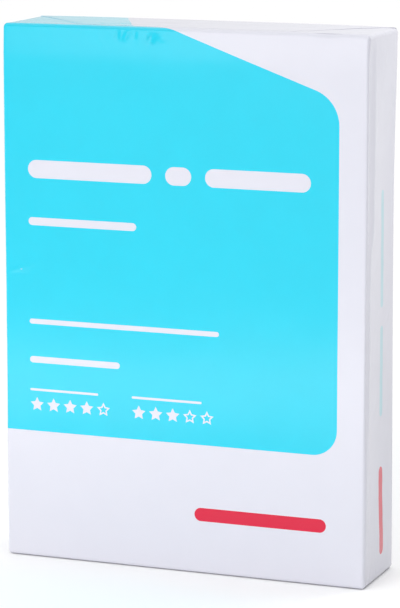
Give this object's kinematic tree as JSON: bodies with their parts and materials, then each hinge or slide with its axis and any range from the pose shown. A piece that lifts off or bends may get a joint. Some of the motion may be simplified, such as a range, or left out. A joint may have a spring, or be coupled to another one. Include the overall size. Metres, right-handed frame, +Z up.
{
  "type": "ream of paper",
  "caption": "Sealed ream of copy paper in a coated white wrapper with a cyan field of print, standing on one folded end.",
  "frame": {"origin": "centre of the base, where the pack stands on its lower folded end", "axes": "+Z up along the length of the sheets, -Y out of the printed front, +X to the right seen from the front"},
  "size_m": [0.2108, 0.0504, 0.299],
  "materials": {
    "wrapper": "smooth coated wrapper paper with a soft sheen",
    "cyan_ink": "cyan ink on coated paper, soft sheen",
    "red_ink": "red ink on coated paper, soft sheen",
    "teal_ink": "pale teal ink on coated paper, soft sheen"
  },
  "bodies": {
    "root": {"sealed_pack": "wrapper", "field_print": "cyan_ink", "red_print": "red_ink", "teal_print": "teal_ink"}
  },
  "joints": []
}
